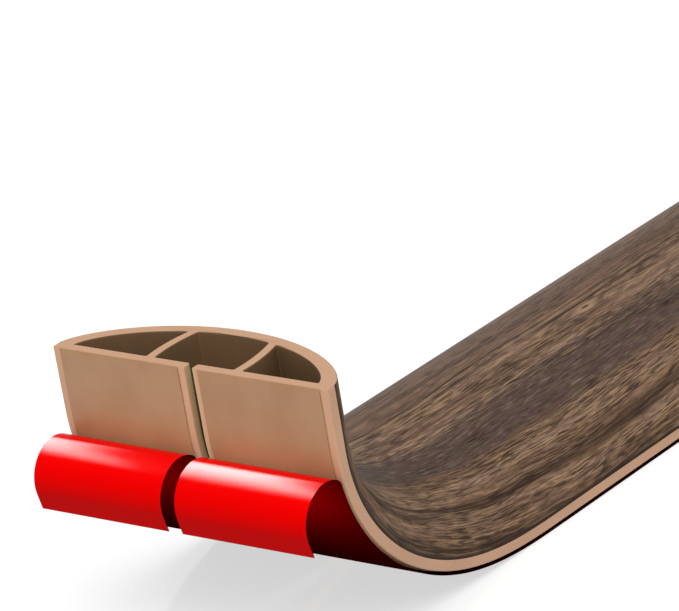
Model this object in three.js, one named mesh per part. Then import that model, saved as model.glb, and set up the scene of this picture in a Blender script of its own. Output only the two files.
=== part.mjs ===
// A length of soft PVC floor cord cover with its near end curled up from the floor.
// Millimetres, +Z up. +Y runs along the stock, away from the raised end, and X = 0 is the slit.
import * as THREE from "three";

// Section of the cover
const coverWidth = 90;
const coverHeight = 24;
const lipHeight = 3;
const domePower = 0.68;
const sideWall = 5;
const underWall = 2.8;
const domeWall = 3.5;
const partitionWall = 2.8;
const partitionFoot = 14.3;
const partitionTop = 13;
const partitionBulge = 0.8;
const slitWidth = 2.5;

// Length of the stock, and how its near end rises from the floor
const stockLength = 1000;
const standLength = 18.5;
const bendLength = 114;
const bendAngle = THREE.MathUtils.degToRad(88);
const bendFade = 1.65;

// Tape on each half of the underside, and the film that covers it
const tapeThickness = 0.4;
const tapeOuterMargin = 2.5;
const tapeInnerMargin = 2;
const filmThickness = 0.5;
const filmOuterMargin = 0.3;
const filmInnerMargin = 1;
const bondGap = 0.1;

// The near end of the film is peeled off the tape: a short fold, a wide curl and a straight end
const peelLength = 26;
const foldRadius = 2.7;
const foldTurn = THREE.MathUtils.degToRad(47);
const curlRadius = 10.2;
const curlTurn = THREE.MathUtils.degToRad(138);
const filmTail = 4.7;

// How finely curves are divided
const domeSteps = 24;
const innerDomeSteps = 12;
const partitionSteps = 4;
const standSteps = 4;
const bendSteps = 20;
const foldSteps = 5;
const curlSteps = 14;
const pathStep = 1;

const pvc = new THREE.MeshStandardMaterial({ color: "#c8976f", roughness: 0.6, metalness: 0 });
const adhesive = new THREE.MeshStandardMaterial({ color: "#b08060", roughness: 0.5, metalness: 0 });
const film = new THREE.MeshStandardMaterial({ color: "#e60000", roughness: 0.2, metalness: 0 });

const halfWidth = coverWidth / 2;
const innerHalf = halfWidth - sideWall;
const flatStart = standLength + bendLength;
const filmDepth = bondGap + tapeThickness + bondGap;

function evenSteps(from, to, steps) {
  return Array.from({ length: steps + 1 }, (_, i) => THREE.MathUtils.lerp(from, to, i / steps));
}

// Height of an arch at x, from its foot at x = half up to foot + rise at x = 0
function archHeight(x, half, foot, rise) {
  const across = Math.min(Math.abs(x) / half, 1);
  return foot + rise * (1 - across * across) ** domePower;
}

function outerHeight(x) {
  return archHeight(x, halfWidth, lipHeight, coverHeight - lipHeight);
}

function innerHeight(x) {
  return archHeight(x, innerHalf, underWall, coverHeight - domeWall - underWall);
}

// Points along an arch between two values of x, closer together towards its feet
function archPoints(height, half, fromX, toX, steps) {
  const angles = evenSteps(Math.asin(fromX / half), Math.asin(toX / half), steps);
  return angles.map((angle) => {
    const x = half * Math.sin(angle);
    return new THREE.Vector2(x, height(x));
  });
}

// One face of the partition on the +X side, from the under wall up to the dome
function partitionFace(offset) {
  const top = innerHeight(partitionTop + offset);
  return evenSteps(0, 1, partitionSteps).map((t) => {
    const lean = THREE.MathUtils.lerp(partitionFoot, partitionTop, t);
    const bulge = 4 * partitionBulge * t * (1 - t);
    return new THREE.Vector2(lean + bulge + offset, THREE.MathUtils.lerp(underWall, top, t));
  });
}

function mirrored(points) {
  return points.map((p) => new THREE.Vector2(-p.x, p.y)).reverse();
}

// The side channel on the +X side, between its partition and the dome's foot
function sideChannel() {
  const face = partitionFace(partitionWall / 2);
  const arch = archPoints(innerHeight, innerHalf, face.at(-1).x, innerHalf, innerDomeSteps);
  return [...face, ...arch.slice(1)];
}

// Centre channel from the +X side of the slit, up and over to the middle of the dome
function centreChannelHalf() {
  const face = partitionFace(-partitionWall / 2);
  const crown = archPoints(innerHeight, innerHalf, face.at(-1).x, 0, innerDomeSteps / 2);
  const slit = [new THREE.Vector2(slitWidth / 2, 0), new THREE.Vector2(slitWidth / 2, underWall)];
  return [...slit, ...face, ...crown.slice(1)];
}

// The closed outline: underside, lips and dome, with the slit and the centre channel let into it
function coverShape() {
  const dome = archPoints(outerHeight, halfWidth, halfWidth, -halfWidth, domeSteps);
  const channel = centreChannelHalf();
  const shape = new THREE.Shape([
    new THREE.Vector2(halfWidth, 0),
    ...dome,
    new THREE.Vector2(-halfWidth, 0),
    ...mirrored(channel).reverse(),
    ...[...channel].reverse().slice(1),
  ]);
  shape.holes.push(new THREE.Path(sideChannel()), new THREE.Path(mirrored(sideChannel())));
  return shape;
}

// A flat strip's section on one half of the underside: side is 1 on +X and -1 on -X
function stripShape(side, inner, outer, thickness) {
  const [left, right] = side > 0 ? [inner, outer] : [-outer, -inner];
  return new THREE.Shape([
    new THREE.Vector2(left, -thickness),
    new THREE.Vector2(right, -thickness),
    new THREE.Vector2(right, 0),
    new THREE.Vector2(left, 0),
  ]);
}

// Slope of the underside at a distance s from the raised end: full in the stand, then fading out
function slopeAt(s) {
  const along = THREE.MathUtils.clamp((s - standLength) / bendLength, 0, 1);
  return bendAngle * (1 - along) ** bendFade;
}

// The underside's middle line in Y and Z, from the raised end down to where the cover lies flat at Y = 0
function raisedLine() {
  const count = Math.ceil(flatStart / pathStep);
  const step = flatStart / count;
  const points = [new THREE.Vector2(0, 0)];
  for (let i = count; i > 0; i--) {
    const slope = slopeAt((i - 0.5) * step);
    const next = points[0];
    points.unshift(new THREE.Vector2(next.x - step * Math.cos(slope), next.y + step * Math.sin(slope)));
  }
  return points;
}

const raisedPoints = raisedLine();

// Where the underside's middle line is at a distance s from the raised end, and which way is up from it
function frameAt(s, depth = 0) {
  const slope = slopeAt(s);
  const up = new THREE.Vector3(0, Math.sin(slope), Math.cos(slope));
  const origin = new THREE.Vector3(0, s - flatStart, 0);
  if (s < flatStart) {
    const place = (s / flatStart) * (raisedPoints.length - 1);
    const index = Math.floor(place);
    const point = raisedPoints[index].clone().lerp(raisedPoints[index + 1], place - index);
    origin.set(0, point.x, point.y);
  }
  return { origin: origin.addScaledVector(up, -depth), up };
}

// Stations from the far end to the raised end, with one at the peel line
const stations = [
  stockLength,
  ...evenSteps(flatStart, peelLength, bendSteps),
  ...evenSteps(peelLength, 0, standSteps).slice(1),
];

// Extrudes a section through a list of frames, its x along +X and its y along each frame's up
function sweep(shape, frames) {
  const steps = frames.length - 1;
  const geometry = new THREE.ExtrudeGeometry(shape, { depth: steps, steps, bevelEnabled: false });
  const position = geometry.getAttribute("position");
  const point = new THREE.Vector3();
  for (let i = 0; i < position.count; i++) {
    const frame = frames[Math.round(position.getZ(i))];
    point.copy(frame.origin).addScaledVector(frame.up, position.getY(i));
    position.setXYZ(i, position.getX(i) + point.x, point.y, point.z);
  }
  geometry.computeVertexNormals();
  return geometry;
}

// The frame reached from another by an arc of the given radius, turning away from that frame's up
function arcFrame(from, radius, turn) {
  const ahead = new THREE.Vector3(1, 0, 0).cross(from.up).negate();
  const origin = from.origin.clone();
  origin.addScaledVector(ahead, -radius * Math.sin(turn));
  origin.addScaledVector(from.up, -radius * (1 - Math.cos(turn)));
  const up = from.up.clone().applyAxisAngle(new THREE.Vector3(1, 0, 0), turn);
  return { origin, up };
}

// The peeled film's frames, from the peel line to its free end
function peeledFrames() {
  const start = frameAt(peelLength, filmDepth);
  const fold = evenSteps(0, foldTurn, foldSteps).slice(1).map((turn) => arcFrame(start, foldRadius, turn));
  const folded = fold.at(-1);
  const curl = evenSteps(0, curlTurn, curlSteps).slice(1).map((turn) => arcFrame(folded, curlRadius, turn));
  const last = curl.at(-1);
  const heading = new THREE.Vector3(1, 0, 0).cross(last.up);
  const end = { origin: last.origin.clone().addScaledVector(heading, filmTail), up: last.up };
  return [...fold, ...curl, end];
}

function named(name, geometry, material) {
  const mesh = new THREE.Mesh(geometry, material);
  mesh.name = name;
  return mesh;
}

function makeCover() {
  const frames = stations.map((s) => frameAt(s));
  return named("cord_cover", sweep(coverShape(), frames), pvc);
}

function makeTape(side, name) {
  const shape = stripShape(side, slitWidth / 2 + tapeInnerMargin, halfWidth - tapeOuterMargin, tapeThickness);
  const frames = stations.map((s) => frameAt(s, bondGap));
  return named(name, sweep(shape, frames), adhesive);
}

function makeFilm(side, name) {
  const shape = stripShape(side, slitWidth / 2 + filmInnerMargin, halfWidth - filmOuterMargin, filmThickness);
  const bonded = stations.filter((s) => s >= peelLength).map((s) => frameAt(s, filmDepth));
  return named(name, sweep(shape, [...bonded, ...peeledFrames()]), film);
}

const part = new THREE.Group();
part.add(makeCover());
part.add(makeTape(-1, "adhesive_tape_left"), makeTape(1, "adhesive_tape_right"));
part.add(makeFilm(-1, "release_liner_left"), makeFilm(1, "release_liner_right"));

// The part stands on its film, with the middle of its footprint at the origin
const footprint = new THREE.Box3().setFromObject(part);
part.position.y = -(footprint.min.y + footprint.max.y) / 2;
part.position.z = filmDepth + filmThickness;

export default part;
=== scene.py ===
import math

import bpy
import numpy as np
from mathutils import Matrix, Vector
from mathutils.geometry import tessellate_polygon


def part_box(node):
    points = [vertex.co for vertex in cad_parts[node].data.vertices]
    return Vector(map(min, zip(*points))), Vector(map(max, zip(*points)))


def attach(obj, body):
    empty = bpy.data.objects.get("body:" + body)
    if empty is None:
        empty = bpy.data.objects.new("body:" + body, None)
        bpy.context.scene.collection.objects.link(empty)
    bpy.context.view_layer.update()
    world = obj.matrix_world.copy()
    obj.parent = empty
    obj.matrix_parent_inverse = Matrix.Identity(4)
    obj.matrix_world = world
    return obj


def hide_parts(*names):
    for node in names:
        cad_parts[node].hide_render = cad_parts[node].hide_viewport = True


# Floor cord cover: a soft PVC extrusion that lies on the floor with its near end bent up.
# Lengths are in millimetres until a mesh is made, and s is the distance from the raised end.
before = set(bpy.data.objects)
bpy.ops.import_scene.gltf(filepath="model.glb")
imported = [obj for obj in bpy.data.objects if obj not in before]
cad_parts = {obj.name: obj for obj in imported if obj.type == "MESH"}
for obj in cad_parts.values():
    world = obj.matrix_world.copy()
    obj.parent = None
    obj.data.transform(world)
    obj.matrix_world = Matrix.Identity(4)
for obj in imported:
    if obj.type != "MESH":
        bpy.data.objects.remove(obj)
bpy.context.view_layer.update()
mm = 0.001
coverLow, coverHigh = (np.array(corner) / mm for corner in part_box("cord_cover"))
linerLow, linerHigh = (np.array(corner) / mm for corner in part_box("release_liner_right"))
tapeLow, tapeHigh = (np.array(corner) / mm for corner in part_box("adhesive_tape_right"))
print("frame loaded:", len(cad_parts), "nodes")

stock = {
    "length": 1000,     # along the underside
    "stand": 18.5,      # steep, straight length at the near end
    "bend": 114,        # length over which the slope fades out
    "angle": 88,        # slope of the near end, in degrees
    "fade": 1.65,       # how quickly the slope fades
    "pathStep": 0.25,   # between points of the worked-out path
    "bendStep": 1.5,    # between the rings of a mesh in the bend
    "runStep": 28,      # and where it lies flat
}
flatStart = stock["stand"] + stock["bend"]


def slopeAt(s):
    # angle * (1 - along)^fade, where along goes from 0 at the end of the stand to 1 where the cover is flat
    along = np.clip((s - stock["stand"]) / stock["bend"], 0, 1)
    return math.radians(stock["angle"]) * (1 - along) ** stock["fade"]


def tailSums(values):
    # For each place, the sum of all values from there to the end, and 0 after the last
    return np.append(np.cumsum(values[::-1])[::-1], 0)


# The underside's middle line. From where it lies flat, each step back goes -cos(slope) in Y
# and +sin(slope) in Z
pathS = np.linspace(0, flatStart, round(flatStart / stock["pathStep"]) + 1)
middleSlopes = slopeAt((pathS[1:] + pathS[:-1]) / 2)
pathY = coverHigh[1] - (stock["length"] - flatStart) - tailSums(np.cos(middleSlopes) * np.diff(pathS))
pathZ = coverLow[2] + tailSums(np.sin(middleSlopes) * np.diff(pathS))


def framesAt(s, depth=0):
    # Origins and up directions of the underside at each s, the origins lowered by depth against up
    slope = slopeAt(s)
    up = np.stack([0 * s, np.sin(slope), np.cos(slope)], axis=1)
    y = np.interp(s, pathS, pathY) + np.maximum(s - flatStart, 0)
    origin = np.stack([0 * s, y, np.interp(s, pathS, pathZ)], axis=1)
    return origin - depth * up, up


def carried(section, origins, ups):
    # The section's points (x, height) at every frame: origin + x * X + height * up
    points = origins[:, None, :] + section[..., 1:] * ups[:, None, :]
    points[..., 0] += section[..., 0]
    return points


def stationsBetween(start, end):
    # Distances s from start to end, close together in the bend and far apart where the cover lies flat
    bent = np.linspace(start, flatStart, round((flatStart - start) / stock["bendStep"]) + 1)
    run = np.linspace(flatStart, end, round((end - flatStart) / stock["runStep"]) + 1)
    return np.append(bent, run[1:])


def lengthAlong(points):
    # For each point, the sum of the distances between the points up to it
    return np.append(0, np.cumsum(np.linalg.norm(np.diff(points, axis=0), axis=1)))


def tubeFaces(rings, count, first=0):
    # Quads between neighbouring rings of count points each, closed round
    ring, place = np.meshgrid(np.arange(rings - 1), np.arange(count), indexing="ij")
    ahead = (place + 1) % count
    quads = np.stack([ring * count + place, (ring + 1) * count + place,
                      (ring + 1) * count + ahead, ring * count + ahead], axis=-1)
    return first + quads.reshape(-1, 4)


def tubeUvs(around, along):
    # A quad's corners in the order of tubeFaces, with u round the section and v along the stock, in metres
    ring, place = np.meshgrid(np.arange(len(along) - 1), np.arange(len(around) - 1), indexing="ij")
    corners = [(place, ring), (place, ring + 1), (place + 1, ring + 1), (place + 1, ring)]
    pairs = [np.stack([around[p], along[r]], axis=-1) for p, r in corners]
    return np.stack(pairs, axis=-2).reshape(-1, 2) * mm


def makePiece(name, points, faces, uvs, slots, materials, flatFaces=()):
    mesh = bpy.data.meshes.new(name)
    mesh.from_pydata((points * mm).tolist(), [], faces)
    lengths = np.ascontiguousarray(uvs, np.float32).ravel()
    mesh.uv_layers.new(name="lengths").uv.foreach_set("vector", lengths)
    for material in materials:
        mesh.materials.append(material)
    mesh.polygons.foreach_set("material_index", np.asarray(slots, np.int32))
    isSmooth = np.ones(len(faces), bool)
    isSmooth[list(flatFaces)] = False
    mesh.polygons.foreach_set("use_smooth", isSmooth)
    mesh.validate()
    mesh.update()
    piece = bpy.data.objects.new(name, mesh)
    bpy.context.scene.collection.objects.link(piece)
    return piece


def linear(hexColour):
    # For each sRGB channel c: c / 12.92 up to 0.04045, and ((c + 0.055) / 1.055)^2.4 above
    channels = [int(hexColour[i:i + 2], 16) / 255 for i in (1, 3, 5)]
    return [c / 12.92 if c <= 0.04045 else ((c + 0.055) / 1.055) ** 2.4 for c in channels] + [1]


def addNode(tree, kind, *values, **options):
    # A new shader node. Lower-case options are its settings. Values go to the inputs that it shows, in
    # order, and capitalised options to inputs by name, each a number, a colour or a link. Gives the first
    # output that it shows
    node = tree.nodes.new(f"ShaderNode{kind}")
    named = []
    for name, option in options.items():
        if name[0].isupper():
            named.append((node.inputs[name.replace("_", " ")], option))
        else:
            setattr(node, name, option)
    shown = [socket for socket in node.inputs if socket.enabled]
    for socket, value in [*zip(shown, values), *named]:
        if isinstance(value, bpy.types.NodeSocket):
            tree.links.new(value, socket)
        else:
            socket.default_value = value
    return next((socket for socket in node.outputs if socket.enabled), None)


# Settings that many nodes share
times, plus, minus, over, timesPlus, positive, root = (
    {"operation": word}
    for word in ("MULTIPLY", "ADD", "SUBTRACT", "DIVIDE", "MULTIPLY_ADD", "ABSOLUTE", "SQRT"))
smooth = {"interpolation_type": "SMOOTHSTEP"}
inColour = {"data_type": "RGBA"}


def newMaterial(name):
    # A material without nodes, and a function that adds one to it
    material = bpy.data.materials.new(name)
    material.use_nodes = True
    material.node_tree.nodes.clear()

    def add(kind, *values, **options):
        return addNode(material.node_tree, kind, *values, **options)

    return material, add


def finishMaterial(add, look, colour, height=None, **inputs):
    # The surface of a look. Where a height from 0 to 1 is given, relief is its depth in mm and its strength
    if height is not None:
        depth, strength = look["relief"]
        inputs["Normal"] = add("Bump", Height=height, Distance=depth * mm, Strength=strength)
    surface = add("BsdfPrincipled", Base_Color=colour, Roughness=look["roughness"], IOR=look["ior"],
                  **inputs)
    add("OutputMaterial", Surface=surface)


def surfaceLengths(add):
    # The UV map holds real lengths in metres: gives millimetres round the section and along the stock
    lengths = add("SeparateXYZ", add("UVMap", uv_map="lengths")).node.outputs
    return [add("Math", lengths[axis], mm, **over) for axis in "XY"]


def streakNoise(add, across, along, pattern, roughness=0.5):
    # The pattern's features are about its first two sizes wide and long, in mm. Its detail and seed follow
    width, length, detail, seed = pattern
    place = add("CombineXYZ", add("Math", across, width, **over), add("Math", along, length, **over), seed)
    return add("TexNoise", Vector=place, Scale=1.0, Detail=detail, Roughness=roughness)


def twoToneMaterial(name, look):
    # Two colours mixed by the mottle, steepened between the limits of a contrast where there is one. The
    # relief comes from the texture, or else from the mottle
    material, add = newMaterial(name)
    lengths = surfaceLengths(add)
    mottle = streakNoise(add, *lengths, look["mottle"])
    height = streakNoise(add, *lengths, look["texture"]) if "texture" in look else mottle
    tone = add("MapRange", mottle, *look["contrast"], **smooth) if "contrast" in look else mottle
    colour = add("Mix", tone, linear(look["colour"]), linear(look["darker"]), **inColour)
    finishMaterial(add, look, colour, height)
    return material


# Soft PVC, extruded: matte tan with faint lines from the die along its length
pvc = {
    "colour": "#b98f70",
    "darker": "#b28768",
    "mottle": (9, 27, 3, 0),
    "contrast": (0.35, 0.7),
    "texture": (0.5, 90, 1, 4),
    "relief": (0.03, 0.5),
    "roughness": 0.55,
    "ior": 1.5,
}

# The same PVC where a knife has cut it: a little rougher, with fine drag lines across the cut
cut = {
    "colour": "#b98f70",
    "darker": "#b2896b",
    "mottle": (14, 0.35, 2, 2),
    "contrast": (0.35, 0.7),
    "relief": (0.03, 0.4),
    "roughness": 0.6,
    "ior": 1.5,
}

# Inner skin of the channels: the tan PVC made a darker brown, which is painted shade in the channels'
# hollows; matte from the die
channel = {
    "colour": "#745838",
    "darker": "#6b5033",
    "mottle": (4, 60, 2, 7),
    "relief": (0.05, 0.5),
    "roughness": 0.7,
    "ior": 1.5,
}

# The slit's two faces: an olive tan lighter than the skin, which is painted light in the narrow, shaded
# slit. Its tone lies between the skin outside and the painted-shade brown of the channels
slit = {
    "colour": "#bda67c",
    "darker": "#ab9670",
    "mottle": (1.2, 50, 2, 9),
    "relief": (0.03, 0.4),
    "roughness": 0.6,
    "ior": 1.5,
}

# Walnut grain printed on vinyl: satin, with no shine of its own. Places are in mm round the dome from its
# crown, towards +X
wood = {
    "tan": "#a18264",
    "brown": "#624a39",
    "red": "#6f5243",
    "rose": "#8e7267",
    "heart": "#513e3c",
    "olive": "#53463b",       # the heart is clouded with it
    "dark": "#2c2019",
    "pore": "#281b14",
    "fleck": "#8b7b75",
    "strength": {"brown": 0.45, "streak": 0.45, "rose": 0.6, "red": 0.5, "heart": 0.88, "fleck": 0.4,
                 "paleLine": 0.6, "pore": 0.75, "stroke": 0.46, "fine": 0.4, "halo": 0.55, "sliver": 0.85,
                 "border": 0.8},
    "heartFrom": 10.5,        # the wide dark band: a soft border, then a ragged one
    "heartSoft": 4,
    "heartTo": 25.5,
    "heartRagged": 0.8,
    "redTo": -6.5,            # reddish wood from here down the -X side
    "redSoft": 2,
    "streaks": ((40.4, 1.9, 0.8), (-2.2, 0.45, 0.9), (-5.3, 0.5, 0.85), (-14, 2.2, 0.5), (-24, 0.6, 0.6),
                (-38, 4.5, 0.7), (51.5, 1.8, 0.8)),      # place, half width and strength
    "streakShift": 1.5,       # how far fine lines push a streak to and fro
    "lineFade": (1.5, 0.5),   # where a streak has faded out and is full, in half widths
    "between": 0.5,           # share of a streak's strength between the thin lines in it
    "paleLine": (-3.8, 0.6),
    "knot": (0.5, 215),       # round the dome, and along the stock
    "knotSize": (1.4, 4.2),
    "halo": (2.0, 0.7),       # where the knot's pale halo starts and is full, in knot sizes
    "sliver": (0.5, 0.3),     # and its dark middle
    "lineWidth": 0.8,         # dark line along both borders of the print
    "lineSoft": 0.25,
    "wander": (40, 130, 2, 11),
    "wanderBy": 12,
    "ripple": (5, 24, 1, 12),
    "rippleBy": 1.1,
    "feather": (8, 9),        # how far streaks and strokes push a ragged border
    "blur": (14, 10),         # and a soft one
    "patterns": {             # width, length, detail, seed, and where each starts and is full
        "streak": (1.7, 50, 2, 5, 0.36, 0.64),
        "fine": (0.45, 14, 2, 8, 0.42, 0.62),
        "stroke": (0.5, 6, 1, 13, 0.44, 0.6),
        "brown": (6, 220, 2, 3, 0.38, 0.62),
        "rose": (2.5, 25, 2, 29, 0.4, 0.62),
        "cloud": (4, 12, 2, 43, 0.4, 0.6),
        "fleck": (0.6, 6, 1, 41, 0.56, 0.7),
        "thin": (0.8, 80, 2, 23, 0.62, 0.42),
        "broken": (3, 40, 2, 50, 0.3, 0.5),      # every streak has the next seed
        "crowd": (5, 50, 2, 17, 0.38, 0.52),
        "pore": (0.42, 8, 1, 19, 0.5, 0.58),
    },
    "patternRoughness": 0.6,
    "heartThins": 0.1,        # fewer pores in the heart
    "fineRelief": 0.4,
    "relief": (0.05, 0.5),
    "roughness": 0.5,
    "ior": 1.5,
    "shine": 0.05,
}


def printedWood(halfAround):
    material, add = newMaterial("walnutPrintVinyl")
    across, along = surfaceLengths(add)
    strength = wood["strength"]

    def moved(place, value, amount):
        # place + amount * (value - 0.5), which goes to and fro
        return add("Math", place, add("Math", value, amount, -amount / 2, **timesPlus), **plus)

    def pattern(name, seedsOn=0):
        width, length, detail, seed = wood["patterns"][name][:4]
        sizes = (width, length, detail, seed + seedsOn)
        return streakNoise(add, waver, along, sizes, wood["patternRoughness"])

    def steep(name, value):
        # From 0 where the pattern starts to 1 where it is full
        return add("MapRange", value, *wood["patterns"][name][4:], **smooth)

    def lined(place, middle, half):
        # 1 along the middle, 0.5 at half a width from it, and 0 outside
        away = add("Math", add("Math", place, middle, **minus), **positive)
        none, full = wood["lineFade"]
        return add("MapRange", away, none * half, full * half, **smooth)

    def laid(below, colour, *covers):
        # The colour over what is below it, as dense as the product of the covers
        density = covers[0]
        for cover in covers[1:]:
            density = add("Math", density, cover, **times)
        return add("Mix", density, below, colour, **inColour)

    colours = {name: linear(value) for name, value in wood.items() if str(value).startswith("#")}

    # Bands wander slowly along the stock, and short ripples bend the grain
    waver = moved(across, streakNoise(add, across, along, wood["wander"]), wood["wanderBy"])
    waver = moved(waver, streakNoise(add, across, along, wood["ripple"]), wood["rippleBy"])
    streaks, fine, strokes = pattern("streak"), pattern("fine"), pattern("stroke")
    feathered, blurred = (moved(moved(waver, streaks, wide), strokes, narrow)
                          for wide, narrow in (wood["feather"], wood["blur"]))

    # Plain wood: tan, rose and brown streaks, redder down the -X side
    brown = add("Math", steep("brown", pattern("brown")), strength["brown"], **times)
    streaked = add("Math", steep("streak", streaks), strength["streak"], **times)
    plain = laid(colours["tan"], colours["rose"], steep("rose", pattern("rose")), strength["rose"])
    plain = laid(plain, colours["brown"], add("Math", brown, streaked, **plus))
    redTo, redSoft = wood["redTo"], wood["redSoft"]
    red = add("MapRange", feathered, redTo + redSoft, redTo - redSoft, **smooth)
    plain = laid(plain, colours["red"], red, strength["red"])

    # The dark heart, clouded, and with short pale flecks in it
    low, high, soft, ragged = (wood[name] for name in ("heartFrom", "heartTo", "heartSoft", "heartRagged"))
    heart = add("Math", add("MapRange", blurred, low - soft, low + soft, **smooth),
                add("MapRange", feathered, high + ragged, high - ragged, **smooth), **times)
    clouded = laid(colours["heart"], colours["olive"], steep("cloud", pattern("cloud")))
    grain = laid(plain, clouded, heart, strength["heart"])
    grain = laid(grain, colours["fleck"], steep("fleck", pattern("fleck")), heart, strength["fleck"])

    # Dark streaks made up of thin lines, broken up along their length, and one pale line
    thin = steep("thin", pattern("thin"))
    for number, (place, half, dense) in enumerate(wood["streaks"]):
        broken = steep("broken", pattern("broken", number))
        lines = add("Math", thin, (1 - wood["between"]) * dense, wood["between"] * dense, **timesPlus)
        streak = lined(moved(waver, fine, wood["streakShift"]), place, half)
        grain = laid(grain, colours["dark"], streak, broken, lines)
    grain = laid(grain, colours["tan"], lined(waver, *wood["paleLine"]), strength["paleLine"])

    # Short pores, thick in the plain wood and thin in the heart, and fine darker lines all over
    crowd = add("Math", pattern("crowd"), add("Math", heart, wood["heartThins"], **times), **minus)
    pores = add("Math", steep("pore", pattern("pore")), steep("crowd", crowd), **times)
    grain = laid(grain, colours["pore"], pores, strength["pore"])
    grain = laid(grain, colours["dark"], steep("stroke", strokes), strength["stroke"])
    grain = laid(grain, colours["dark"], steep("fine", fine), strength["fine"])

    # One small knot: a pale halo with a dark sliver in it, by the distance sqrt(a^2 + b^2) in knot sizes
    offsets = [add("Math", place, 1 / size, -middle / size, **timesPlus) for place, middle, size
               in zip((across, along), wood["knot"], wood["knotSize"])]
    squares = [add("Math", offset, offset, **times) for offset in offsets]
    away = add("Math", add("Math", *squares, **plus), **root)
    for colour, name in (("tan", "halo"), ("dark", "sliver")):
        near = add("MapRange", away, *wood[name], **smooth)
        grain = laid(grain, colours[colour], near, strength[name])

    toBorder = add("Math", halfAround, add("Math", across, **positive), **minus)
    width, soft = wood["lineWidth"], wood["lineSoft"]
    border = add("MapRange", toBorder, width + soft, width - soft, **smooth)
    colour = laid(grain, colours["dark"], border, strength["border"])
    height = add("Math", add("Math", fine, wood["fineRelief"], **times), pores, **minus)
    finishMaterial(add, wood, colour, height, Specular_IOR_Level=wood["shine"])
    return material


# The extrusion's section
section = {
    "height": 24,
    "lip": 3,
    "domePower": 0.68,
    "sideWall": 5,
    "underWall": 2.8,
    "domeWall": 3.5,
    "partition": 2.8,
    "partitionFoot": 14.3,
    "partitionTop": 13,
    "partitionBulge": 0.8,
    "slit": 2.5,
    "slitRound": 0.7,      # radii of the extrusion's corners
    "lipRound": 0.6,
    "channelRound": 0.7,
    "footRound": 0.35,     # where a side channel's ceiling meets its floor
    "cutRound": 0.15,      # softened edge of the cut ends
    "cutRings": 2,
    "cutStart": 0.4,       # from that edge to the next ring
    "support": 0.25,       # from a rounded corner to the point that holds its shape
    "points": {"underside": 16, "lip": 5, "dome": 110, "slit": 4, "centreFloor": 6, "partition": 14,
               "crown": 28, "sideArch": 40, "sideFloor": 12, "corner": 5, "border": 400},
}
halfWidth = coverHigh[0]
innerHalf = halfWidth - section["sideWall"]


def archHeight(x, half, foot, rise):
    # foot + rise * (1 - (x / half)^2)^domePower
    return foot + rise * np.maximum(1 - (x / half) ** 2, 0) ** section["domePower"]


def outerHeight(x):
    # The dome, from the lips up to the full height
    return archHeight(x, halfWidth, section["lip"], section["height"] - section["lip"])


def innerHeight(x):
    # The channels' ceiling, from the under wall up to the dome's wall
    return archHeight(x, innerHalf, section["underWall"],
                      section["height"] - section["domeWall"] - section["underWall"])


def archPoints(height, half, fromX, toX, count):
    # x = half * sin(angle), with even angles, so points crowd towards the arch's feet
    x = half * np.sin(np.linspace(math.asin(fromX / half), math.asin(toX / half), count))
    return np.stack([x, height(x)], axis=1)


def partitionFace(offset):
    # x goes from foot to top and bulges out by 4 * bulge * t * (1 - t), the height from floor to dome
    t = np.linspace(0, 1, section["points"]["partition"])
    lean = section["partitionFoot"] + (section["partitionTop"] - section["partitionFoot"]) * t
    x = lean + 4 * section["partitionBulge"] * t * (1 - t) + offset
    top = innerHeight(section["partitionTop"] + offset)
    return np.stack([x, section["underWall"] + (top - section["underWall"]) * t], axis=1)


def trimmed(piece, atStart, atEnd, support=section["support"]):
    # The piece without a length at each end. A support point lies close to each new end, and the points
    # within 1.5 supports of that end are left out
    lengths = lengthAlong(piece)
    first, last = atStart, lengths[-1] - atEnd
    inner = lengths[(lengths > first + 1.5 * support) & (lengths < last - 1.5 * support)]
    wanted = np.concatenate([[first, first + support], inner, [last - support, last]])
    return np.stack([np.interp(wanted, lengths, values) for values in piece.T], axis=1)


def cornerCurve(start, middle, end, count):
    # The quadratic curve (1 - t)^2 * start + 2 * t * (1 - t) * middle + t^2 * end, without its ends
    t = np.linspace(0, 1, count + 2)[1:-1, None]
    return (1 - t) ** 2 * start + 2 * t * (1 - t) * middle + t ** 2 * end


def roundedLoop(pieces, radii):
    # Joins pieces end to start, with corners rounded by their radii. Also gives each point's piece
    points, owners = [], []
    for place, piece in enumerate(pieces):
        following = pieces[(place + 1) % len(pieces)]
        body = trimmed(piece, radii[place - 1], radii[place])
        if radii[place] > 0:
            after = trimmed(following, radii[place], 0)[0]
            bend = cornerCurve(body[-1], piece[-1], after, section["points"]["corner"])
            body = np.concatenate([body, bend])
        else:
            body = body[:-1]
        points.append(body)
        owners.append(np.full(len(body), place))
    return np.concatenate(points), np.concatenate(owners)


def outerLoop():
    # Counter-clockwise: right underside, lip, dome, lip, left underside, slit, centre channel, slit
    count = section["points"]
    gap, floor, lip = section["slit"] / 2, section["underWall"], section["lip"]
    right = partitionFace(-section["partition"] / 2)
    left = right * [-1, 1]
    pieces = [
        np.linspace((gap, 0), (halfWidth, 0), count["underside"]),
        np.linspace((halfWidth, 0), (halfWidth, lip), count["lip"]),
        archPoints(outerHeight, halfWidth, halfWidth, -halfWidth, count["dome"]),
        np.linspace((-halfWidth, lip), (-halfWidth, 0), count["lip"]),
        np.linspace((-halfWidth, 0), (-gap, 0), count["underside"]),
        np.linspace((-gap, 0), (-gap, floor), count["slit"]),
        np.linspace((-gap, floor), left[0], count["centreFloor"]),
        left,
        archPoints(innerHeight, innerHalf, -right[-1, 0], right[-1, 0], count["crown"]),
        right[::-1],
        np.linspace(right[0], (gap, floor), count["centreFloor"]),
        np.linspace((gap, floor), (gap, 0), count["slit"]),
    ]
    slitRound, lipRound, bend = section["slitRound"], section["lipRound"], section["channelRound"]
    radii = [lipRound, 0, 0, lipRound, slitRound, bend, bend, bend, bend, bend, bend, slitRound]
    return roundedLoop(pieces, radii)


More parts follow.
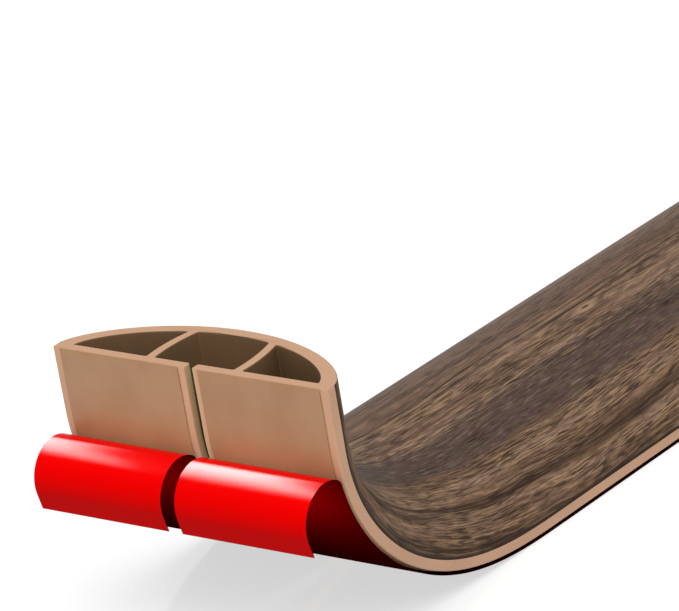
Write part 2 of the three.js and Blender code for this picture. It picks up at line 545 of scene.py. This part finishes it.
def sideLoop():
    # The channel on the +X side, clockwise, because it is a hole: partition, arch, floor
    count = section["points"]
    face = partitionFace(section["partition"] / 2)
    arch = archPoints(innerHeight, innerHalf, face[-1, 0], innerHalf, count["sideArch"])
    floor = np.linspace((innerHalf, section["underWall"]), face[0], count["sideFloor"])
    bend = section["channelRound"]
    return roundedLoop([face, arch, floor], [bend, section["footRound"], bend])


def inward(points):
    # Unit directions into the material, which is on the left of a loop's direction
    ahead = np.roll(points, -1, axis=0) - np.roll(points, 1, axis=0)
    ahead /= np.linalg.norm(ahead, axis=1)[:, None]
    return np.stack([-ahead[:, 1], ahead[:, 0]], axis=1)


def coverRings(loop):
    # Rings of one loop from the raised end to the far end. At a cut end the loop is drawn in by
    # r * (1 - cos a) at a distance r * (1 - sin a) from the cut, which rounds its edge
    radius = section["cutRound"]
    turn = np.linspace(math.pi / 2, 0, section["cutRings"] + 1)
    s = radius * (1 - np.sin(turn))
    inset = radius * (1 - np.cos(turn))
    start = radius + section["cutStart"]
    body = stationsBetween(start, stock["length"] - start)
    stations = np.concatenate([s, body, stock["length"] - s[::-1]])
    insets = np.concatenate([inset, 0 * body, inset[::-1]])
    drawn = loop[None] + insets[:, None, None] * inward(loop)[None]
    origins, ups = framesAt(stations)
    return carried(drawn, origins, ups), stations


def makeCover(materials):
    # The three loops carried along the stock, and both cut ends filled with triangles
    skin, cutEnd, inChannel, onDome, inSlit = range(len(materials))
    outer, owners = outerLoop()
    outerSlots = np.array([skin, skin, onDome, skin, skin, inSlit] + 5 * [inChannel] + [inSlit])[owners]
    isDome = outerSlots == onDome
    side, _ = sideLoop()
    sideSlots = np.full(len(side), inChannel)
    loops = [outer, side, side[::-1] * [-1, 1]]
    points, faces, uvs, slots, rims = [], [], [], [], []
    first = 0
    for loop, loopSlots in zip(loops, (outerSlots, sideSlots, sideSlots)):
        rings, stations = coverRings(loop)
        around = lengthAlong(np.append(loop, loop[:1], axis=0))
        crown = np.interp(0, -outer[isDome, 0], around[:-1][isDome]) if loop is outer else 0
        points.append(rings.reshape(-1, 3))
        faces += tubeFaces(len(rings), len(loop), first).tolist()
        uvs.append(tubeUvs(crown - around, stations))
        slots.append(np.tile(loopSlots, len(rings) - 1))
        rim = first + np.arange(len(loop))
        rims.append((rim, rim + (len(rings) - 1) * len(loop)))
        first += len(rings) * len(loop)
    points = np.concatenate(points)
    triangles = np.array(tessellate_polygon([[Vector((*point, 0)) for point in loop] for loop in loops]))
    flatPoints = np.concatenate(loops)
    corners = flatPoints[triangles]
    turned = np.cross(corners[:, 1] - corners[:, 0], corners[:, 2] - corners[:, 0]) < 0
    triangles[turned] = triangles[turned][:, ::-1]
    capFaces = []
    for end in (0, 1):
        rim = np.concatenate([r[end] for r in rims])
        order = triangles if end == 0 else triangles[:, ::-1]
        capFaces += rim[order].tolist()
        uvs.append(flatPoints[order].reshape(-1, 2) * mm)
        slots.append(np.full(len(order), cutEnd))
    flat = range(len(faces), len(faces) + len(capFaces))
    return makePiece("cordCover", points, faces + capFaces, np.concatenate(uvs), np.concatenate(slots),
                     materials, flat)


# Section of a tape or a film. Its rounding and the support beside it are shares of its thickness
strip = {"points": {"across": 24, "edge": 3, "corner": 2}, "round": 0.3, "support": 0.1}


def stripLoop(low, high, bottom, top):
    # Counter-clockwise from the lower side: lower side, edge, upper side, edge
    count = strip["points"]
    ends = np.array([(low, bottom), (high, bottom), (high, top), (low, top), (low, bottom)])
    pieces = [np.linspace(ends[place], ends[place + 1], count["edge" if place % 2 else "across"])
              for place in range(4)]
    radius, support = strip["round"] * (top - bottom), strip["support"] * (top - bottom)
    bodies = [trimmed(piece, radius, radius, support) for piece in pieces]
    points, owners = [], []
    for place, body in enumerate(bodies):
        bend = cornerCurve(body[-1], ends[place + 1], bodies[(place + 1) % 4][0], count["corner"])
        points += [body, bend]
        owners += [np.full(len(body) + len(bend), place)]
    return np.concatenate(points), np.concatenate(owners)


def makeStrip(name, loop, origins, ups, stations, slots, materials):
    # A strip's section carried along frames and closed at both ends
    rings = carried(loop, origins, ups)
    around = lengthAlong(np.append(loop, loop[:1], axis=0))
    faces = tubeFaces(len(rings), len(loop)).tolist()
    uvs = tubeUvs(around + loop[0, 0], stations)
    last = (len(rings) - 1) * len(loop)
    ends = [list(range(len(loop))), list(range(last, last + len(loop)))[::-1]]
    endUvs = np.concatenate([loop, loop[::-1]]) * mm
    faceSlots = np.append(slots, [slots[0]] * 2)
    return makePiece(name, rings.reshape(-1, 3), faces + ends, np.concatenate([uvs, endUvs]), faceSlots,
                     materials, range(len(faces), len(faces) + 2))


# Double-sided tape: clear adhesive on a thin foam, so the tan shows through it a little darker
tape = {
    "colour": "#9b7654",
    "darker": "#956f4d",
    "mottle": (12, 18, 3, 21),
    "contrast": (0.35, 0.7),
    "texture": (0.6, 0.6, 1, 23),      # the foam's cells
    "relief": (0.03, 0.35),
    "roughness": 0.42,
    "ior": 1.47,
    "thickness": 0.3,
    "bond": 0.02,
    "inset": 0.15,                     # short of the cut ends
}


def makeTape(name, side, material):
    # The tape's section carried along the underside, just below it
    low, high = sorted((side * tapeLow[0], side * tapeHigh[0]))
    loop, _ = stripLoop(low, high, -tape["thickness"], 0)
    stations = stationsBetween(tape["inset"], stock["length"] - tape["inset"])
    origins, ups = framesAt(stations, tape["bond"])
    slots = np.zeros(len(loop) * (len(stations) - 1), int)
    return makeStrip(name, loop, origins, ups, stations, slots, [material])


# Red release film: glossy polyester, siliconed and bright inside, dull outside. The outside's near-black
# red is painted shade: it lies in shadow under the bend and inside the curls
film = {
    "inside": {"colour": "#920000", "roughness": 0.12, "shine": 0.015},
    # Painted shade: the outside is as red as the inside, and is given near-black red for its shadow
    "outside": {"colour": "#220000", "roughness": 0.35, "shine": 0},
    "edge": {"colour": "#220000", "roughness": 0.5, "shine": 0},      # its cut edges, near-black red: painted shade, a thin dark line like a contact shadow
    "ripple": (16, 7, 1, 31),
    "relief": (0.12, 0.25),
    "ior": 1.5,
    "thickness": 0.22,
    "inset": 0.1,        # short of the far end
    "peel": 26,          # length peeled off the tape
    "foldRadius": 2.2,   # of the film's outside, which is the inside of its curl
    "foldTurn": 47,      # degrees
    "curlRadius": 9.7,
    "curlTurn": 138,
    "tail": 4.7,
    "step": 0.25,
    "evenOver": 7,       # steps over which the curvature is evened out
}


def redFilm(name, face):
    material, add = newMaterial(name)
    ripple = streakNoise(add, *surfaceLengths(add), film["ripple"])
    finishMaterial(add, {**film, **face}, linear(face["colour"]), ripple, Specular_IOR_Level=face["shine"])
    return material


def peeledFrames(depth):
    # From the peel line the film's heading turns by the sum of its curvature, which is 1 / radius in the
    # fold and in the curl and 0 in the tail, evened out over a few steps. Its frames run from the free end
    # to the peel line
    foldLength = film["foldRadius"] * math.radians(film["foldTurn"])
    curlLength = film["curlRadius"] * math.radians(film["curlTurn"])
    total = foldLength + curlLength + film["tail"]
    count = round(total / film["step"])
    step = total / count
    t = (np.arange(count) + 0.5) * step
    curvature = np.where(t < foldLength + curlLength, 1 / film["curlRadius"], 0)
    curvature = np.where(t < foldLength, 1 / film["foldRadius"], curvature)
    even = np.ones(film["evenOver"]) / film["evenOver"]
    curvature = np.convolve(np.pad(curvature, film["evenOver"] // 2, mode="edge"), even, mode="valid")
    origin, _ = framesAt(np.array([film["peel"]], float), depth)
    startHeading = math.pi - slopeAt(film["peel"])
    heading = startHeading + np.append(0, np.cumsum(curvature * step))
    middle = (heading[1:] + heading[:-1]) / 2
    y = origin[0, 1] + np.append(0, np.cumsum(np.cos(middle) * step))
    z = origin[0, 2] + np.append(0, np.cumsum(np.sin(middle) * step))
    origins = np.stack([0 * y, y, z], axis=1)
    ups = np.stack([0 * y, np.sin(heading), -np.cos(heading)], axis=1)
    return origins[:0:-1], ups[:0:-1], film["peel"] - np.arange(count, 0, -1) * step


def makeFilm(name, side, materials):
    # The film keeps to the floor side of the space between the tape and the floor. Where it is still stuck,
    # its inside also takes the outside's near-black red, which is painted shade in the dark slot between
    # the film and the cover
    depth = coverLow[2]
    low, high = sorted((side * linerLow[0], side * linerHigh[0]))
    loop, owners = stripLoop(low, high, 0, film["thickness"])
    curlOrigins, curlUps, curlStations = peeledFrames(depth)
    bonded = stationsBetween(film["peel"], stock["length"] - film["inset"])
    origins, ups = framesAt(bonded, depth)
    inside, outside, edge = range(len(materials))
    peeled = np.tile(np.array([outside, edge, inside, edge])[owners], len(curlOrigins))
    # Painted shade: the stuck stretch's inside is as dark as its outside
    stuck = np.tile(np.array([outside, edge, outside, edge])[owners], len(origins) - 1)
    return makeStrip(name, loop, np.concatenate([curlOrigins, origins]), np.concatenate([curlUps, ups]),
                     np.concatenate([curlStations, bonded]), np.append(peeled, stuck), materials)


dome = archPoints(outerHeight, halfWidth, halfWidth, -halfWidth, section["points"]["border"])
cover = makeCover([
    twoToneMaterial("extrudedTanPvc", pvc),
    twoToneMaterial("knifeCutPvc", cut),
    twoToneMaterial("channelPaintedShadePvc", channel),
    printedWood(lengthAlong(dome)[-1] / 2),
    twoToneMaterial("slitFacePaintedLightPvc", slit),
])
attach(cover, "root")
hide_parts("cord_cover")
print("cover made", len(cover.data.polygons), "faces")

foam = twoToneMaterial("adhesiveFoamTape", tape)
filmFaces = [
    redFilm("redReleaseFilm", film["inside"]),
    redFilm("redReleaseFilmOutsidePaintedShade", film["outside"]),
    redFilm("redReleaseFilmEdgePaintedShade", film["edge"]),
]
tapes, liners = [], {}
for side, word in ((-1, "left"), (1, "right")):
    adhesive = makeTape(f"tape{word.capitalize()}", side, foam)
    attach(adhesive, "root")
    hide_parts(f"adhesive_tape_{word}")
    tapes.append(adhesive)
    liner = makeFilm(f"releaseFilm{word.capitalize()}", side, filmFaces)
    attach(liner, "root")
    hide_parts(f"release_liner_{word}")
    liners[word] = liner
print("tapes and films made")

# Studio: a pale gloss floor, a white sky and wide soft suns. It is stage, and no part of the cover
studio = {
    "white": "#ffffff",
    "floorSize": 60,        # metres
    "floorColour": "#a0a0a0",
    "floorGlow": 0.62,      # a lit white table top, so shadows on it stay pale
    "floorSurface": {"roughness": 0.12, "ior": 1.45},
    "skyStrength": 0.6,
    "sunSpread": 50,        # degrees
    "key": (2.4, (0.24, -0.42, 1.0)),        # strength, and where the light comes from
    "filmKey": (8.8, (0.1, -0.55, 1.0)),
    "bankRadiance": 180,    # each bank makes the streak along one film's curl
    "bankHeight": 150,      # mm above the floor
    "bankAlong": (-525, -455, -310),      # along Y: from nothing to full to nothing
    "bankAcross": {         # along X: full, full, nothing
        "left": (-230, -131, -96),
        "right": (-170, -48, -22),
    },
    "bankSlant": 0.45,      # how far that last edge leans towards -X for each mm along Y
    "lamps": {              # radiance, size, place and where the light comes from
        "panel": (6, (90, 10), (0, -500, 12), (0, -0.7, -0.7)),      # low in front of the raised end
        "left": (100, (36, 3), (-23, -481, 40), (0, -1, 0)),         # inside the films' curls
        "right": (150, (36, 3), (23, -481, 41), (0, -1, 0.15)),
    },
}


def stand(name, data):
    placed = bpy.data.objects.new(name, data)
    bpy.context.scene.collection.objects.link(placed)
    return placed


def makeFloor():
    half = studio["floorSize"] / 2
    corners = [(-half, -half, 0), (half, -half, 0), (half, half, 0), (-half, half, 0)]
    mesh = bpy.data.meshes.new("studioFloor")
    mesh.from_pydata(corners, [], [(0, 1, 2, 3)])
    material, add = newMaterial("glossFloor")
    finishMaterial(add, studio["floorSurface"], linear(studio["floorColour"]),
                   Emission_Color=linear(studio["white"]), Emission_Strength=studio["floorGlow"])
    mesh.materials.append(material)
    floor = stand("studioFloor", mesh)
    return floor


def grouped(name, pieces):
    group = bpy.data.collections.new(name)
    for piece in pieces:
        group.objects.link(piece)
    return group


def onlyFor(light, receivers, blockers=()):
    # The light reaches the receivers alone. Where blockers are given, nothing else shades them from it
    light.light_linking.receiver_collection = grouped(f"{light.name}Receivers", receivers)
    if blockers:
        light.light_linking.blocker_collection = grouped(f"{light.name}Blockers", blockers)


def makeSun(name, strength, comesFrom):
    sun = stand(name, bpy.data.lights.new(name, "SUN"))
    sun.data.energy = strength
    sun.data.angle = math.radians(studio["sunSpread"])
    sun.rotation_euler = Vector(comesFrom).to_track_quat("Z", "Y").to_euler()
    return sun


def makeArea(name, radiance, width, depth, place):
    # An area light's power is radiance * pi * area
    light = bpy.data.lights.new(name, "AREA")
    light.shape = "RECTANGLE"
    light.size = width * mm
    light.size_y = depth * mm
    light.energy = radiance * math.pi * light.size * light.size_y
    area = stand(name, light)
    area.location = Vector(place) * mm
    area.visible_camera = False
    return area


def makeLights(floor):
    world = bpy.data.worlds.new("studio")
    world.use_nodes = True
    sky = world.node_tree.nodes["Background"].inputs
    sky["Color"].default_value = linear(studio["white"])
    sky["Strength"].default_value = studio["skyStrength"]
    bpy.context.scene.world = world
    vinyl = [cover, *tapes]
    onlyFor(makeSun("floorKey", *studio["key"]), [floor])
    onlyFor(makeSun("coverKey", *studio["key"]), vinyl, vinyl)
    onlyFor(makeSun("filmKey", *studio["filmKey"]), liners.values())


def makeBank(word, liner):
    # An overhead light that gives shine only, and only to its own film. Its strength rises and falls
    # along Y and fades out along X + slant * (Y - full)
    near, full, far = studio["bankAlong"]
    left, fadeFrom, right = studio["bankAcross"][word]
    place = ((left + right) / 2, (near + far) / 2, studio["bankHeight"])
    bank = makeArea(f"bank{word.capitalize()}", studio["bankRadiance"], right - left, far - near, place)
    bank.data.use_nodes = True
    tree = bank.data.node_tree
    spot = addNode(tree, "SeparateXYZ", addNode(tree, "NewGeometry")).node.outputs
    rise = addNode(tree, "MapRange", spot["Y"], near * mm, full * mm, **smooth)
    fall = addNode(tree, "MapRange", spot["Y"], far * mm, full * mm, **smooth)
    slant = studio["bankSlant"]
    leaning = addNode(tree, "Math", spot["Y"], slant, -slant * full * mm, **timesPlus)
    across = addNode(tree, "Math", spot["X"], leaning, **plus)
    fade = addNode(tree, "MapRange", across, right * mm, fadeFrom * mm, **smooth)
    strength = addNode(tree, "Math", addNode(tree, "Math", rise, fall, **times), fade, **times)
    tree.links.new(strength, tree.nodes["Emission"].inputs["Strength"])
    bank.visible_diffuse = False
    onlyFor(bank, [liner], [liner])


def makeLamp(word, pieces):
    # A small light close to the pieces, for diffuse light on them alone
    radiance, size, place, comesFrom = studio["lamps"][word]
    lamp = makeArea(f"{word}Lamp", radiance, *size, place)
    lamp.rotation_euler = Vector(comesFrom).to_track_quat("Z", "Y").to_euler()
    lamp.visible_glossy = False
    onlyFor(lamp, pieces, pieces)


# The photograph's viewpoint, worked out from the cut end and the edges of the strip
view = {
    "imageWidth": 679,
    "imageHeight": 611,
    "focalPixels": 5298,
    "azimuth": -39.829,     # degrees from +Y towards +X
    "elevation": 20.991,
    "roll": 8.28,
    "target": (-110.16, -273.69),   # on the level of the underside
    "distance": 1579.4,
    "sensor": 36,
    "clipEnd": 200,                 # metres
}


def makeCamera():
    azimuth, elevation, roll = (math.radians(view[name]) for name in ("azimuth", "elevation", "roll"))
    ahead = Vector((math.sin(azimuth) * math.cos(elevation), math.cos(azimuth) * math.cos(elevation),
                    -math.sin(elevation)))
    level = Vector((math.cos(azimuth), -math.sin(azimuth), 0))
    down = ahead.cross(level)
    right = level * math.cos(roll) + down * math.sin(roll)
    up = level * math.sin(roll) - down * math.cos(roll)
    target = Vector((*view["target"], coverLow[2]))
    camera = stand("camera", bpy.data.cameras.new("camera"))
    camera.data.sensor_width = view["sensor"]
    camera.data.lens = view["focalPixels"] / view["imageWidth"] * view["sensor"]
    camera.data.clip_end = view["clipEnd"]
    place = (target - ahead * view["distance"]) * mm
    camera.matrix_world = Matrix.Translation(place) @ Matrix((right, up, -ahead)).transposed().to_4x4()
    bpy.context.scene.camera = camera


makeLights(makeFloor())
for word, liner in liners.items():
    makeBank(word, liner)
    makeLamp(word, [liner])
makeLamp("panel", [cover, *tapes])
makeCamera()
bpy.context.scene.view_settings.view_transform = "Standard"
print("studio and camera set")
